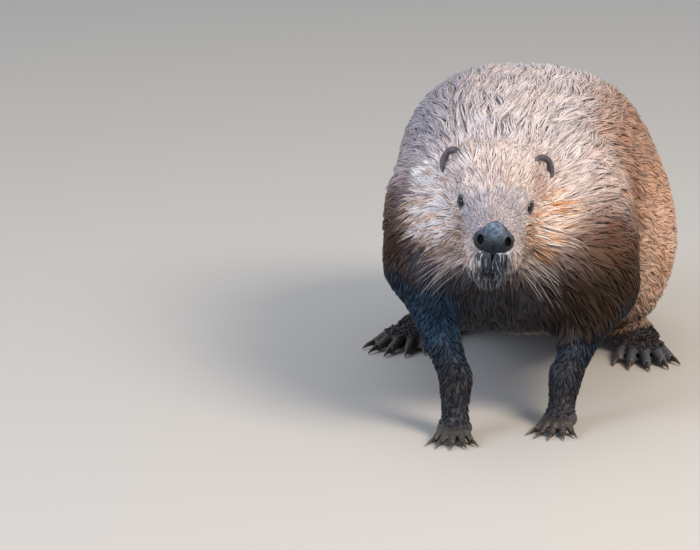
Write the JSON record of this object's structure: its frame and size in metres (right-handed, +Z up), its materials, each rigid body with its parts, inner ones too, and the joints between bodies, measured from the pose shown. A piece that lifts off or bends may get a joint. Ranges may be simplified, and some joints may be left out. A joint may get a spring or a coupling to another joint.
{
  "type": "adult beaver, still life-size museum model",
  "caption": "Life-size still model of a standing beaver with wet clumped fur, small round ears, webbed hind feet and a flat scaly tail.",
  "frame": {"origin": "on the floor, under the middle of the bounding box", "axes": "+X to the animal's left, +Y towards its tail, +Z up; it faces -Y"},
  "size_m": [0.3544, 1.0144, 0.3217],
  "materials": {
    "coat": "wet guard hair in clumped locks, pale brown on the head and back, darker below",
    "ear_skin": "thin dark skin with very short hair",
    "nose_skin": "moist fine-grained skin",
    "eye": "wet dark eyeball",
    "foot_skin": "dark wrinkled skin with short hair above",
    "tail_skin": "dark skin in flat six-sided scales",
    "claw": "dark horn"
  },
  "bodies": {
    "root": {"head": "coat", "jaw": "coat", "nose": "nose_skin", "eye_left": "eye", "eye_right": "eye", "ear_left": "ear_skin", "ear_right": "ear_skin", "neck": "coat", "trunk": "coat", "tail_base": "coat", "tail_blade": "tail_skin", "fore_claw_left_1": "claw", "fore_claw_left_2": "claw", "fore_claw_left_3": "claw", "fore_claw_left_4": "claw", "fore_claw_left_5": "claw", "fore_claw_right_1": "claw", "fore_claw_right_2": "claw", "fore_claw_right_3": "claw", "fore_claw_right_4": "claw", "fore_claw_right_5": "claw", "forearm_left": "coat", "forearm_right": "coat", "forepaw_left": "foot_skin", "forepaw_right": "foot_skin", "hind_claw_left_1": "claw", "hind_claw_left_2": "claw", "hind_claw_left_3": "claw", "hind_claw_left_4": "claw", "hind_claw_left_5": "claw", "hind_claw_right_1": "claw", "hind_claw_right_2": "claw", "hind_claw_right_3": "claw", "hind_claw_right_4": "claw", "hind_claw_right_5": "claw", "hindfoot_left": "foot_skin", "hindfoot_right": "foot_skin", "shank_left": "coat", "shank_right": "coat", "thigh_left": "coat", "thigh_right": "coat", "upper_foreleg_left": "coat", "upper_foreleg_right": "coat"}
  },
  "joints": []
}
